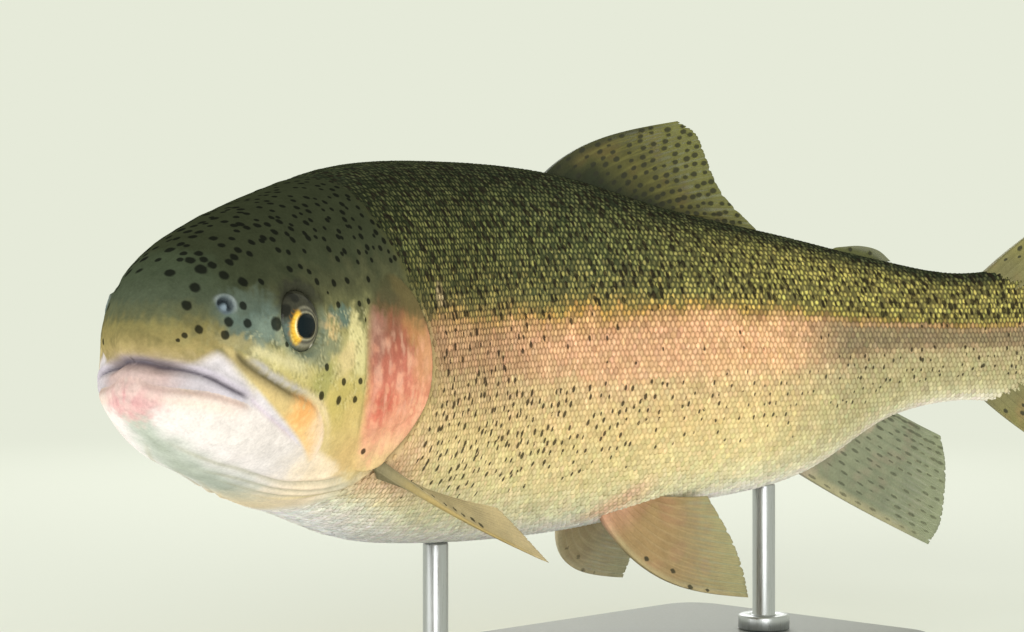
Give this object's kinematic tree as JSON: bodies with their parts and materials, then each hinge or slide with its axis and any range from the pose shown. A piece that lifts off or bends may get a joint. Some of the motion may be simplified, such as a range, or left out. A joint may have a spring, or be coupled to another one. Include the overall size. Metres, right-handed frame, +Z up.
{
  "type": "rainbow trout",
  "caption": "Life-size rainbow trout model, body bent as it turns and swims, fins spread, held up by two rods on a flat base for display.",
  "frame": {"origin": "centre of the underside of the stand's base, on the ground", "axes": "+Z up, the head towards -X, the fish's left side towards -Y, its longest extent along X"},
  "size_m": [0.4749, 0.116, 0.1854],
  "materials": {
    "scaled_skin": "satin, finely scaled",
    "head_skin": "smooth, wet look",
    "jaw_skin": "smooth, wet look",
    "gill_cover": "smooth, slightly pearly",
    "fin": "satin, thin and rayed",
    "eye": "clear and glossy over a gold iris",
    "base_paint": "satin paint",
    "rod_steel": "brushed"
  },
  "bodies": {
    "root": {"head": "head_skin", "lower_jaw": "jaw_skin", "throat": "jaw_skin", "maxilla_left": "head_skin", "maxilla_right": "head_skin", "gill_cover_left": "gill_cover", "gill_cover_right": "gill_cover", "eye_left": "eye", "eye_right": "eye", "trunk_front": "scaled_skin", "trunk_middle": "scaled_skin", "trunk_rear": "scaled_skin", "tail_stalk": "scaled_skin", "dorsal_fin": "fin", "adipose_fin": "fin", "anal_fin": "fin", "caudal_fin": "fin", "pelvic_fin_left": "fin", "pelvic_fin_right": "fin", "pectoral_fin_left": "fin", "pectoral_fin_right": "fin", "stand_base": "base_paint", "stand_rod_front": "rod_steel", "stand_rod_rear": "rod_steel"}
  },
  "joints": []
}
